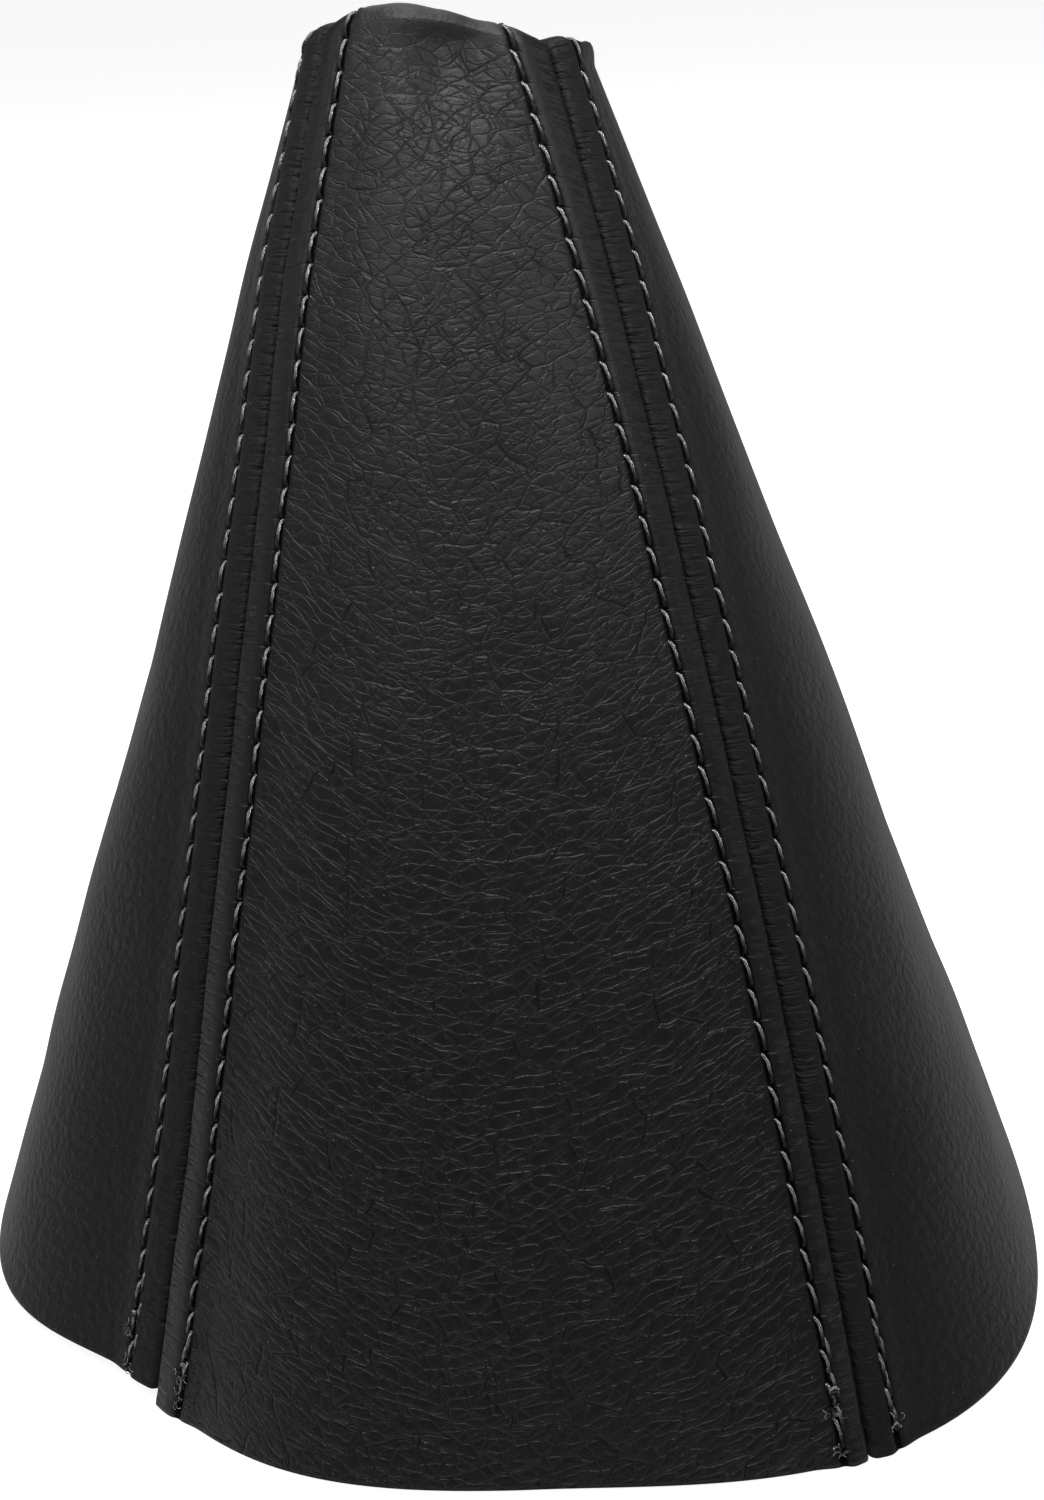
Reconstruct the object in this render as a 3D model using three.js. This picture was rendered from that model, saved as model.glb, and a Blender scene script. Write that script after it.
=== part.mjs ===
// Gear lever gaiter: a sleeve of four leatherette panels, sewn edge to edge with opened,
// double-topstitched seams, narrow at the neck and wide at the base.
// Units are millimetres, +Z is up, the front faces -Y and +X is the viewer's right.
// Angles run round the sleeve in degrees: 0 at the front, 90 at the right.

import * as THREE from 'three';

// The sleeve's outer face
const HEIGHT = 176.5;
const BASE_HALF_WIDTH = 78.3;
const BASE_HALF_DEPTH = 80.8;
const BASE_SQUARENESS = 3.15;
const NECK_HALF_WIDTH = 16.9;
const NECK_HALF_DEPTH = 16.5;
const NECK_SQUARENESS = 2.6;
const LEAN_LEFT = 3.8;
const LEAN_BACK = 11.4;

// The limp base edge leaves the plain rounded square by these shares of its radius,
// in full at the front and at the base, fading to nothing at the back and at the neck.
const EDGE_WAVES = [
  { turns: 2, cos: 0.002, sin: 0.031 },
  { turns: 3, cos: 0.033, sin: 0.042 },
  { turns: 4, cos: 0.02, sin: 0.006 },
  { turns: 5, cos: 0.006, sin: -0.016 },
];

// Seam angles at the base edge and at the neck, with the bow between the two, and how far
// from the seam its topstitch rows run at the base and at the neck.
// The rear seams mirror the front ones, because the front and rear panels are cut alike.
const LEFT_SEAM = { base: -37, neck: -54, bow: 4.5, rowBase: 5.7, rowNeck: 4.5 };
const RIGHT_SEAM = { base: 20.9, neck: 41.7, bow: -0.9, rowBase: 4, rowNeck: 4.7 };

// Leather and seams
const LEATHER = 1;
const ALLOWANCE_PAST_ROW = 3.2;
const LAYER_GAP = 0.3;
const SEAM_GAP = 0.3;
const RIDGE = 0.7;
const ROW_PRESS = 0.5;
const ROW_SHOULDER = 1.4;
const RIDGE_FADE = 1.2;

// Neck: the edge dips towards both sides and is turned in over a soft roll
const RIM_DIP = 3.5;
const RIM_REAR_DROP = 10;
const RIM_CREST_ANGLE = -20;
const HEM_RADIUS = 3.2;
const HEM_LENGTH = 8;

// Base: the left panel is cut short of the front panel where the two meet
const LEFT_PANEL_STEP = 1.5;

// Threads
const STITCH_LENGTH = 4.3;
const THREAD_RADIUS = 0.26;
const THREAD_PINCH = 0.5;
const THREAD_CLEARANCE = 0.3;
const ROW_START = 2;
const JOINING_RADIUS = 0.2;

// Fineness of the facets
const OUTLINE_STEPS = 720;
const FIELD_STEP_LENGTH = 15;
const BODY_STEPS = 9;
const ROLL_STEPS = 4;
const FOLD_STEPS = 4;
const THREAD_SIDES = 3;

const LEATHER_COLOUR = 0x262524;
const THREAD_COLOUR = 0x3c3b3a;

const { degToRad, lerp } = THREE.MathUtils;

function signedPower(value, power) {
  return Math.sign(value) * Math.abs(value) ** power;
}

// A point of the sleeve's outer face, at a level of 0 at the base and 1 at the neck's crest.
function sleevePoint(angle, level) {
  const halfWidth = lerp(BASE_HALF_WIDTH, NECK_HALF_WIDTH, level);
  const halfDepth = lerp(BASE_HALF_DEPTH, NECK_HALF_DEPTH, level);
  const squareness = lerp(BASE_SQUARENESS, NECK_SQUARENESS, level);
  const turn = degToRad(angle);
  const fade = (1 - level) * (1 + Math.cos(turn)) / 2;
  let swell = 1;
  for (const wave of EDGE_WAVES) {
    swell += fade * (wave.cos * Math.cos(wave.turns * turn) + wave.sin * Math.sin(wave.turns * turn));
  }
  return new THREE.Vector3(
    swell * halfWidth * signedPower(Math.sin(turn), 2 / squareness) - LEAN_LEFT * level,
    -swell * halfDepth * signedPower(Math.cos(turn), 2 / squareness) + LEAN_BACK * level,
    HEIGHT * level,
  );
}

// The length round the sleeve from angle to angle, measured at one level.
class Outline {
  constructor(level) {
    this.angles = [];
    this.lengths = [];
    let length = 0;
    let previous = null;
    for (let i = 0; i <= 2 * OUTLINE_STEPS; i++) {
      const angle = 360 * (i / OUTLINE_STEPS - 1);
      const point = sleevePoint(angle, level);
      length += previous ? point.distanceTo(previous) : 0;
      this.angles.push(angle);
      this.lengths.push(length);
      previous = point;
    }
  }

  lengthAt(angle) {
    return interpolate(this.angles, this.lengths, angle);
  }

  angleAt(length) {
    return interpolate(this.lengths, this.angles, length);
  }
}

function interpolate(from, to, value) {
  let low = 0;
  let high = from.length - 1;
  while (high - low > 1) {
    const middle = (low + high) >> 1;
    if (from[middle] <= value) low = middle;
    else high = middle;
  }
  return lerp(to[low], to[high], (value - from[low]) / (from[high] - from[low]));
}

// The base edge's box is centred on the origin.
function centreOfBase() {
  const box = new THREE.Box3();
  for (let i = 0; i < OUTLINE_STEPS; i++) {
    box.expandByPoint(sleevePoint(360 * i / OUTLINE_STEPS, 0));
  }
  return box.getCenter(new THREE.Vector3()).setZ(0);
}

const BASE_CENTRE = centreOfBase();
const WALL_SLOPE = Math.atan2(BASE_HALF_DEPTH - NECK_HALF_DEPTH + LEAN_BACK, HEIGHT);

// The level at which the wall starts to roll in, so that the roll's crest makes the height.
function neckLevel(angle) {
  const fromCrest = degToRad(angle - RIM_CREST_ANGLE);
  const dip = RIM_DIP * Math.sin(fromCrest) ** 2 + RIM_REAR_DROP * (1 - Math.cos(fromCrest)) / 2;
  return (HEIGHT - HEM_RADIUS * (1 - Math.sin(WALL_SLOPE)) - dip) / HEIGHT;
}

function wallPoint(angle, rise) {
  return sleevePoint(angle, rise * neckLevel(angle)).sub(BASE_CENTRE);
}

// The wall's directions at a point: round the sleeve, upward and outward.
function wallFrame(angle, rise) {
  const step = 0.5;
  const lift = 0.01;
  const around = wallPoint(angle + step, rise).sub(wallPoint(angle - step, rise)).normalize();
  const up = wallPoint(angle, rise + lift).sub(wallPoint(angle, rise - lift)).normalize();
  const out = around.clone().cross(up).normalize();
  return { around, up, out };
}

function seamAngle(seam, rise) {
  return lerp(seam.base, seam.neck, rise) + 4 * seam.bow * rise * (1 - rise);
}

function rowOffset(seam, rise) {
  return lerp(seam.rowBase, seam.rowNeck, rise);
}

function mirrored(seam) {
  return { ...seam, base: 180 - seam.base, neck: 180 - seam.neck, bow: -seam.bow };
}

function turned(seam) {
  return { ...seam, base: seam.base - 360, neck: seam.neck - 360 };
}

// A place along the panels' length: first up the wall, then round the hem roll, then down
// the turned-in edge. rise runs from 0 to 1 on the wall, roll is an angle, drop a length.
const NECK = { rise: 1, roll: 0, drop: 0 };

function lengthwisePlaces() {
  const places = [];
  for (let i = 0; i <= BODY_STEPS; i++) places.push({ rise: i / BODY_STEPS, roll: 0, drop: 0 });
  for (let i = 1; i <= ROLL_STEPS; i++) places.push({ ...NECK, roll: Math.PI * i / ROLL_STEPS });
  places.push({ ...NECK, roll: Math.PI, drop: HEM_LENGTH });
  return places;
}

const outlines = new Map();

function outlineAt(rise) {
  const key = rise.toFixed(6);
  if (!outlines.has(key)) outlines.set(key, new Outline(rise * neckLevel(0)));
  return outlines.get(key);
}

// A point over the wall at an angle and a place, standing off the outer face.
// The stand-off is level at the base edge, so that the cut edge stays flat.
function pointOver(angle, place, standOff) {
  const { up, out } = wallFrame(angle, place.rise);
  const base = wallPoint(angle, place.rise);
  if (place.roll === 0) {
    const away = new THREE.Vector3(out.x, out.y, out.z * place.rise).normalize();
    return base.addScaledVector(away, standOff / away.dot(out));
  }
  const spoke = out.clone().multiplyScalar(Math.cos(place.roll)).addScaledVector(up, Math.sin(place.roll));
  return base
    .addScaledVector(out, -HEM_RADIUS)
    .addScaledVector(spoke, HEM_RADIUS + standOff)
    .addScaledVector(up, -place.drop);
}

// The angle of a topstitch row (side -1 or 1) or of the seam itself (side 0).
function rowAngle(seam, side, rise) {
  const outline = outlineAt(rise);
  return outline.angleAt(outline.lengthAt(seamAngle(seam, rise)) + side * rowOffset(seam, rise));
}

// The section of a panel's edge, from the field to the fold and back along the allowance,
// as distances from the seam's middle and stand-offs from the outer face.
const FOLD_RADIUS = LEATHER + LAYER_GAP / 2;
const FOLD_CENTRE = SEAM_GAP / 2 + FOLD_RADIUS;
const ROW_LEVEL = RIDGE - ROW_PRESS;

function fieldStart(seam, rise) {
  return rowOffset(seam, rise) + ALLOWANCE_PAST_ROW + RIDGE_FADE;
}

function edgeSection(seam, rise) {
  const under = LEATHER + LAYER_GAP;
  const row = rowOffset(seam, rise);
  const allowance = row + ALLOWANCE_PAST_ROW;
  const section = [
    [fieldStart(seam, rise), 0],
    [row + ROW_SHOULDER, ROW_LEVEL + ROW_PRESS / 2],
    [row, ROW_LEVEL],
    [row - ROW_SHOULDER, RIDGE],
  ];
  for (let i = 0; i <= FOLD_STEPS; i++) {
    const bend = Math.PI * (0.5 + i / FOLD_STEPS);
    section.push([
      FOLD_CENTRE + FOLD_RADIUS * Math.cos(bend),
      RIDGE - FOLD_RADIUS + FOLD_RADIUS * Math.sin(bend),
    ]);
  }
  section.push(
    [row, ROW_LEVEL - under - LEATHER],
    [allowance, -under - LEATHER],
    [allowance, -under],
    [row, ROW_LEVEL - under],
    [FOLD_CENTRE, RIDGE - under],
    [FOLD_CENTRE - LAYER_GAP / 2, RIDGE - FOLD_RADIUS],
    [FOLD_CENTRE, RIDGE - LEATHER],
    [row, ROW_LEVEL - LEATHER],
    [fieldStart(seam, rise), -LEATHER],
  );
  return section;
}

// Even steps across a panel's field, as many as its base edge needs.
function fieldFractions(panel) {
  const base = outlineAt(0);
  const width = base.lengthAt(panel.end.base) - base.lengthAt(panel.start.base);
  const field = width - fieldStart(panel.start, 0) - fieldStart(panel.end, 0);
  const steps = Math.round(field / FIELD_STEP_LENGTH);
  return Array.from({ length: steps - 1 }, (_, i) => (i + 1) / steps);
}

// One ring of a panel: its edge section at each seam, joined by the field's two faces.
// Each point is anchored to a share of the way from the start seam to the end seam.
function ringLayout(panel, rise) {
  const from = fieldStart(panel.start, rise);
  const to = -fieldStart(panel.end, rise);
  const field = (standOff) => fieldFractions(panel).map((share) => (
    { anchor: share, distance: lerp(from, to, share), standOff }
  ));
  const edge = (seam, anchor, sign) => edgeSection(seam, rise).map(([distance, standOff]) => (
    { anchor, distance: sign * distance, standOff }
  ));
  return [
    ...edge(panel.start, 0, 1),
    ...field(-LEATHER),
    ...edge(panel.end, 1, -1).reverse(),
    ...field(0).reverse(),
  ];
}

// The panel's base edge is cut level, or climbs by a step towards its end seam.
function panelPoint(panel, place, { anchor, distance, standOff }) {
  const rise = lerp(panel.step * anchor / HEIGHT, 1, place.rise);
  const outline = outlineAt(rise);
  const start = outline.lengthAt(seamAngle(panel.start, rise));
  const end = outline.lengthAt(seamAngle(panel.end, rise));
  const angle = outline.angleAt(lerp(start, end, anchor) + distance);
  return pointOver(angle, { ...place, rise }, standOff);
}

function panelGeometry(panel) {
  const rings = lengthwisePlaces().map((place) => (
    ringLayout(panel, place.rise).map((spot) => panelPoint(panel, place, spot))
  ));
  return closedSkin(rings, capTriangles(rings[0], -1), capTriangles(rings[rings.length - 1], -1));
}

// A closed skin over rings of equal length, with the two given end caps.
function closedSkin(rings, startCap, endCap) {
  const count = rings[0].length;
  const last = (rings.length - 1) * count;
  const index = [];
  for (let ring = 0; ring < rings.length - 1; ring++) {
    for (let i = 0; i < count; i++) {
      const a = ring * count + i;
      const b = ring * count + (i + 1) % count;
      index.push(a, b + count, b, a, a + count, b + count);
    }
  }
  index.push(...startCap.flat(), ...endCap.flat().map((corner) => last + corner));
  const geometry = new THREE.BufferGeometry().setFromPoints(rings.flat());
  geometry.setIndex(index);
  geometry.computeVertexNormals();
  return geometry;
}

// Triangles over a ring, seen in plan, that face up (1) or down (-1).
function capTriangles(ring, facing) {
  const plan = ring.map((point) => new THREE.Vector2(point.x, point.y));
  return THREE.ShapeUtils.triangulateShape(plan, []).map(([a, b, c]) => {
    const turn = plan[b].clone().sub(plan[a]).cross(plan[c].clone().sub(plan[a]));
    return turn * facing > 0 ? [a, b, c] : [a, c, b];
  });
}

// The place at a length from the base edge, measured along a line beside a seam.
function placeAlong(length, wallLength) {
  if (length <= wallLength) return { rise: length / wallLength, roll: 0, drop: 0 };
  const past = length - wallLength;
  const rollLength = Math.PI * HEM_RADIUS;
  if (past <= rollLength) return { ...NECK, roll: past / HEM_RADIUS };
  return { ...NECK, roll: Math.PI, drop: past - rollLength };
}

function rowLength(seam, side) {
  const foot = wallPoint(rowAngle(seam, side, 0), 0);
  const head = wallPoint(rowAngle(seam, side, 1), 1);
  return head.distanceTo(foot);
}

// A thread along a seam: a tube that thins to a pinch where each stitch enters the leather.
function threadGeometry(seam, side, level, radius, stationsPerStitch) {
  const wallLength = rowLength(seam, side);
  const fullLength = wallLength + Math.PI * HEM_RADIUS + HEM_LENGTH - ROW_START;
  const stitches = Math.round((fullLength - ROW_START) / STITCH_LENGTH);
  const stations = stitches * stationsPerStitch;
  const rings = [];
  for (let i = 0; i <= stations; i++) {
    const place = placeAlong(lerp(ROW_START, fullLength, i / stations), wallLength);
    const atHole = i % stationsPerStitch === 0 && stationsPerStitch > 1;
    const thickness = atHole ? radius * THREAD_PINCH : radius;
    const angle = rowAngle(seam, side, place.rise);
    const centre = pointOver(angle, place, level + thickness);
    const above = pointOver(angle, place, level + 2 * thickness).sub(centre).normalize();
    const beside = wallFrame(angle, place.rise).around;
    const ring = [];
    for (let corner = 0; corner < THREAD_SIDES; corner++) {
      const turn = 2 * Math.PI * (corner / THREAD_SIDES + 0.25);
      ring.push(centre.clone()
        .addScaledVector(beside, thickness * Math.cos(turn))
        .addScaledVector(above, thickness * Math.sin(turn)));
    }
    rings.push(ring);
  }
  const fan = [];
  for (let i = 1; i < THREAD_SIDES - 1; i++) fan.push([0, i, i + 1]);
  return closedSkin(rings, fan, fan.map(([a, b, c]) => [a, c, b]));
}

// The joining stitches lie inside, in the valley between the two folds.
function joiningLevel() {
  const reach = FOLD_RADIUS + THREAD_CLEARANCE + JOINING_RADIUS;
  return RIDGE - FOLD_RADIUS - Math.sqrt(reach ** 2 - FOLD_CENTRE ** 2) - JOINING_RADIUS;
}

function leatherMaterial() {
  return new THREE.MeshStandardMaterial({ color: LEATHER_COLOUR, roughness: 0.55, metalness: 0 });
}

function threadMaterial() {
  return new THREE.MeshStandardMaterial({ color: THREAD_COLOUR, roughness: 0.7, metalness: 0 });
}

function namedMesh(name, geometry, material) {
  const mesh = new THREE.Mesh(geometry, material);
  mesh.name = name;
  return mesh;
}

const seams = {
  front_left: LEFT_SEAM,
  front_right: RIGHT_SEAM,
  rear_right: mirrored(RIGHT_SEAM),
  rear_left: turned(mirrored(LEFT_SEAM)),
};

const panels = {
  front_panel: { start: seams.front_left, end: seams.front_right, step: 0 },
  right_panel: { start: seams.front_right, end: seams.rear_right, step: 0 },
  rear_panel: { start: turned(seams.rear_right), end: seams.rear_left, step: 0 },
  left_panel: { start: seams.rear_left, end: seams.front_left, step: LEFT_PANEL_STEP },
};

const gaiter = new THREE.Group();

for (const [name, panel] of Object.entries(panels)) {
  gaiter.add(namedMesh(name, panelGeometry(panel), leatherMaterial()));
}

for (const [name, seam] of Object.entries(seams)) {
  const rowLevel = ROW_LEVEL + THREAD_CLEARANCE;
  for (const [hand, side] of [['a', -1], ['b', 1]]) {
    const row = threadGeometry(seam, side, rowLevel, THREAD_RADIUS, 2);
    gaiter.add(namedMesh(`topstitch_${name}_${hand}`, row, threadMaterial()));
  }
  const joining = threadGeometry(seam, 0, joiningLevel(), JOINING_RADIUS, 1);
  gaiter.add(namedMesh(`joining_stitch_${name}`, joining, threadMaterial()));
}

export default gaiter;
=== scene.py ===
"""Looks of the gear lever gaiter: four leatherette panels with opened, topstitched seams.

Lengths in the shape code are millimetres, as in the part's source, and become metres in
the meshes. Angles run round the sleeve in degrees: 0 at the front, 90 at the right.
"""

import math

import bpy
import numpy as np
from mathutils import Matrix


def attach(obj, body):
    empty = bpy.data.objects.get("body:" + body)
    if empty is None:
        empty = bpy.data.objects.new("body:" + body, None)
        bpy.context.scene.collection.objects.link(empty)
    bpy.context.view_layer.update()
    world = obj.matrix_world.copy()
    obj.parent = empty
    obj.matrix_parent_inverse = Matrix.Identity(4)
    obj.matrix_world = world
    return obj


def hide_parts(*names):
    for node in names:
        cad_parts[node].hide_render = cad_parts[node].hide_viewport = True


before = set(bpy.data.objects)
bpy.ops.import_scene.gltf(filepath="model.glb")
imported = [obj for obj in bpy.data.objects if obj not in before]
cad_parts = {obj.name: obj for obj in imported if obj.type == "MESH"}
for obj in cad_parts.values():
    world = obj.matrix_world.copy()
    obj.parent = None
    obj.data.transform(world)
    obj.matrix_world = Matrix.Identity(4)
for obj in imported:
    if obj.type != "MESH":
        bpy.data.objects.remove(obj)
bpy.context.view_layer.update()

MM = 0.001

# The sleeve, as in the part's source
HEIGHT = 176.5
BASE_HALF_WIDTH = 78.3
BASE_HALF_DEPTH = 80.8
BASE_SQUARENESS = 3.15
NECK_HALF_WIDTH = 16.9
NECK_HALF_DEPTH = 16.5
NECK_SQUARENESS = 2.6
LEAN_LEFT = 3.8
LEAN_BACK = 11.4
EDGE_WAVES = [(2, 0.002, 0.031), (3, 0.033, 0.042), (4, 0.02, 0.006), (5, 0.006, -0.016)]
RIM_DIP = 3.5
RIM_REAR_DROP = 10
RIM_CREST_ANGLE = -20
HEM_RADIUS = 3.2
HEM_LENGTH = 8
LEFT_PANEL_STEP = 1.5

# How the limp neck edge differs from its plain form: each sag's angle, reach and rise
RIM_SAGS = [
    (-48, 15, -1.4), (-66, 8, -0.5), (-4, 19, 0.75),
    (36, 17, -1.2), (90, 12, 0.3), (-10, 38, -0.8),
]
CORNER_ANGLE = 82
CORNER_REACH = 24
CORNER_FLARE = 0.3
CORNER_TIGHTNESS = 4
NECK_DENT = (-0.4, -4.4, 171.2)
NECK_DENT_REACH = (5.6, 9.0, 2.4)
NECK_DENT_TAIL = 13
NECK_DENT_DEPTH = 1.9
SAG_SIZE = 0.16
WAVINESS_SIZE = 0.07

# Leather and seams
LEATHER = 1
ALLOWANCE_PAST_ROW = 3.2
LAYER_GAP = 0.3
SEAM_GAP = 0.08
RIDGE = 0.7
RIDGE_CROWN = 0.16
ROW_PRESS = 0.2
ROW_PRESS_REACH = 0.7
ROW_SHOULDER = 1.4
RIDGE_FADE = 1.2
FOLD_RADIUS = LEATHER + LAYER_GAP / 2
FOLD_CENTRE = SEAM_GAP / 2 + FOLD_RADIUS
HOLE_DEPTH = 0.28
HOLE_REACH_ACROSS = 0.55
HOLE_REACH_ALONG = 0.62
PUCKER_LENGTHS = (2.3, 3.1, 4.3, 6.1)
PUCKERS_AT_BASE = 2.2

# Threads
STITCH_LENGTH = 4.3
ROW_START = 2
THREAD_RADIUS = 0.2
JOINING_RADIUS = 0.2
JOINING_START = 0.3
JOINING_WAVE = 0.12
FILAMENT_RADIUS = 0.05
PLIES = 3
PLY_DEPTH = 0.24
PLY_PITCH = 1.5
HOLE_CLEARANCE = 0.12
STITCH_DIVE = 0.75
STITCH_HOOK = 1.3
FILAMENTS_IN_TUFT = 6

# How each row ends at the base: the backtack's sideways shift and number of stitches, the
# knots' lengths up the row, sideways places and sizes, and the same places of frayed tufts
ENDINGS = {
    "front_left_a": ((1.1, 3), [(10.2, 0, 0.5)], [(8.3, -0.8), (3, 0)]),
    "front_left_b": ((0.4, 2), [(7.5, 0, 0.4)], [(6.3, -0.3), (3, 0)]),
    "front_right_a": ((0.45, 3), [(9.4, 0.2, 1.0)], [(7.4, -0.6), (2.6, 0)]),
    "front_right_b": ((-0.4, 3), [(3.2, 0, 0.4)], [(4, 0.3)]),
    "rear_right_a": ((0.4, 2), [(8.2, 0, 0.4)], [(3.4, 0.2)]),
    "rear_right_b": ((0.45, 3), [(6.1, 0, 0.4)], [(5, 0)]),
    "rear_left_a": ((-0.4, 2), [(7.3, 0, 0.4)], [(3.1, 0)]),
    "rear_left_b": ((0.5, 3), [(9.0, 0, 0.5)], [(4.4, -0.2)]),
}

# Depth of the bump in metres
GRAIN_DEPTH = 0.00018
KNIT_DEPTH = 0.00016
TWIST_DEPTH = 0.00003

# Camera and stage: places in metres, the lens and the floor's level and rise in millimetres
LENS = 58.53
SENSOR_WIDTH = 36
CAMERA_PLACE = (0.004928, -0.337304, 0.203564)
CAMERA_RIGHT = (0.99891832, -0.01727396, -0.04317174)
CAMERA_UP = (0.04649934, 0.37108649, 0.92743335)
CAMERA_FORWARD = (0.0, 0.92843763, -0.37148833)
FLOOR_SEEN = 0.92
FLOOR_TONE = 0.35
FLOOR_LEVEL = -0.3
FLOOR_RISE = 750
WORLD_STRENGTH = 0.02
WHITE = (1, 1, 1)
WARM_WHITE = (1.0, 0.96, 0.92)

# Lamps: name, place, what they face, side of the square, power and colour
LAMPS = [
    ("key_left", (-0.075, -0.13, 0.23), (-0.03, 0.1, 0.235), 0.06, 0.097, WHITE),
    ("key_right", (0.075, -0.13, 0.23), (0.03, 0.1, 0.235), 0.06, 0.097, WHITE),
    ("brow", (-0.01, -0.1, 0.37), (0, 0.05, 0.17), 0.1, 0.65, WHITE),
    ("front", (-0.05, -0.38, 1.12), (0, 0, 0.1), 0.45, 2.3, WHITE),
    ("top", (0.0, 0.25, 1.0), (0, 0, 0.17), 0.4, 5.0, WHITE),
    ("left", (-0.5, -0.05, 0.5), (-0.02, 0, 0.12), 0.3, 0.78, WHITE),
    ("right", (0.5, -0.05, 0.5), (0.02, 0, 0.12), 0.3, 0.75, WARM_WHITE),
    ("back", (0.0, 1.1, 0.9), (0, 0, 0.08), 0.7, 2.6, WHITE),
]

# Fineness of the meshes
WALL_RINGS = 330
ROLL_RINGS = 26
DROP_RINGS = 8
TUBE_SIDES = 12
STITCH_STATIONS = 20
JOINING_STATIONS = 500
OUTLINE_ANGLES = np.linspace(-360, 360, 1441)


class Seam:
    """A seam's angle from base to neck, its rows' distances from it, and how its stitches lie."""

    def __init__(self, base, neck, bow, rows, slant):
        self.base, self.neck, self.bow = base, neck, bow
        self.rows, self.slant = rows, slant

    def angle(self, rise):
        return lerp(self.base, self.neck, rise) + 4 * self.bow * rise * (1 - rise)

    def row(self, side, rise):
        at_base, at_neck = self.rows[side]
        return lerp(at_base, at_neck, rise)

    def mirrored(self):
        rows = {side: self.rows[-side] for side in self.rows}
        return Seam(180 - self.base, 180 - self.neck, -self.bow, rows, -self.slant)

    def turned(self):
        return Seam(self.base - 360, self.neck - 360, self.bow, self.rows, self.slant)


def lerp(a, b, t):
    return a + (b - a) * t


def smooth_step(low, high, value):
    t = np.clip((value - low) / (high - low), 0, 1)
    return t * t * (3 - 2 * t)


def signed_power(value, power):
    return np.sign(value) * np.abs(value) ** power


def unit(vectors):
    return vectors / np.linalg.norm(vectors, axis=-1, keepdims=True)


FRONT_LEFT = Seam(-37, -54, 4.5, {-1: (5.96, 4.45), 1: (5.55, 4.52)}, -0.14)
FRONT_RIGHT = Seam(20.9, 41.7, -0.9, {-1: (3.75, 4.96), 1: (4.15, 4.39)}, 0.42)
REAR_RIGHT = FRONT_RIGHT.mirrored()
REAR_LEFT = FRONT_LEFT.mirrored().turned()


# Shape of the sleeve
def sleeve_point(angle, level):
    """A point of the plain sleeve, level 0 at the base and 1 at the full height."""
    half_width = lerp(BASE_HALF_WIDTH, NECK_HALF_WIDTH, level)
    half_depth = lerp(BASE_HALF_DEPTH, NECK_HALF_DEPTH, level)
    power = 2 / lerp(BASE_SQUARENESS, NECK_SQUARENESS, level)
    turn = np.radians(angle)
    fade = (1 - level) * (1 + np.cos(turn)) / 2
    swell = 1 + fade * sum(c * np.cos(k * turn) + s * np.sin(k * turn) for k, c, s in EDGE_WAVES)
    return np.stack(np.broadcast_arrays(
        swell * half_width * signed_power(np.sin(turn), power) - LEAN_LEFT * level,
        -swell * half_depth * signed_power(np.cos(turn), power) + LEAN_BACK * level,
        HEIGHT * level,
    ), -1)


def centre_of_base():
    points = sleeve_point(np.arange(720) / 2, 0)
    return (points.min(0) + points.max(0)) / 2


BASE_CENTRE = centre_of_base()
WALL_SLOPE = math.atan2(BASE_HALF_DEPTH - NECK_HALF_DEPTH + LEAN_BACK, HEIGHT)


def wrapped(angle):
    """The same angle between -180 and 180."""
    return (angle + 180) % 360 - 180


def neck_level(angle):
    """Where the wall ends and the neck's roll begins, as a part of the height."""
    from_crest = np.radians(angle - RIM_CREST_ANGLE)
    dip = RIM_DIP * np.sin(from_crest) ** 2 + RIM_REAR_DROP * (1 - np.cos(from_crest)) / 2
    dip = dip - sum(
        rise * np.exp(-(wrapped(angle - at) / reach) ** 2) for at, reach, rise in RIM_SAGS
    )
    return (HEIGHT - HEM_RADIUS * (1 - math.sin(WALL_SLOPE)) - dip) / HEIGHT


def wall_point(angle, rise):
    return sleeve_point(angle, rise * neck_level(angle)) - BASE_CENTRE


def wall_frame(angle, rise):
    """Unit directions round the wall, up it, and off it."""
    around = unit(wall_point(angle + 0.5, rise) - wall_point(angle - 0.5, rise))
    up = unit(wall_point(angle, rise + 0.01) - wall_point(angle, rise - 0.01))
    return around, up, unit(np.cross(around, up))


class Ripples:
    """A smooth, seeded unevenness in space, of about one wavelength and a size of about 1."""

    def __init__(self, seed, wavelength, waves=14):
        rng = np.random.default_rng(seed)
        directions = unit(rng.normal(size=(waves, 3)))
        self.pull = directions * (2 * math.pi / wavelength) * rng.uniform(0.7, 1.4, (waves, 1))
        self.phase = rng.uniform(0, 2 * math.pi, waves)

    def at(self, points):
        return np.sin(points @ self.pull.T + self.phase).sum(-1) / math.sqrt(len(self.phase) / 2)


SAG = Ripples(3, 52)
WAVINESS = Ripples(8, 21)


def relief(points):
    """How far the limp leather stands off its plain form."""
    height = points[..., 2] / HEIGHT
    free = smooth_step(0, 0.12, height) * (1 - 0.6 * smooth_step(0.75, 0.95, height))
    off_dent = (points - np.array(NECK_DENT)) / NECK_DENT_REACH
    tail = np.where(off_dent[..., 2] < 0, NECK_DENT_REACH[2] / NECK_DENT_TAIL, 1)
    off_dent[..., 2] *= tail
    dent = np.exp(-(off_dent ** 2).sum(-1))
    uneven = SAG_SIZE * SAG.at(points) + WAVINESS_SIZE * WAVINESS.at(points)
    return free * uneven - NECK_DENT_DEPTH * dent


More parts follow.
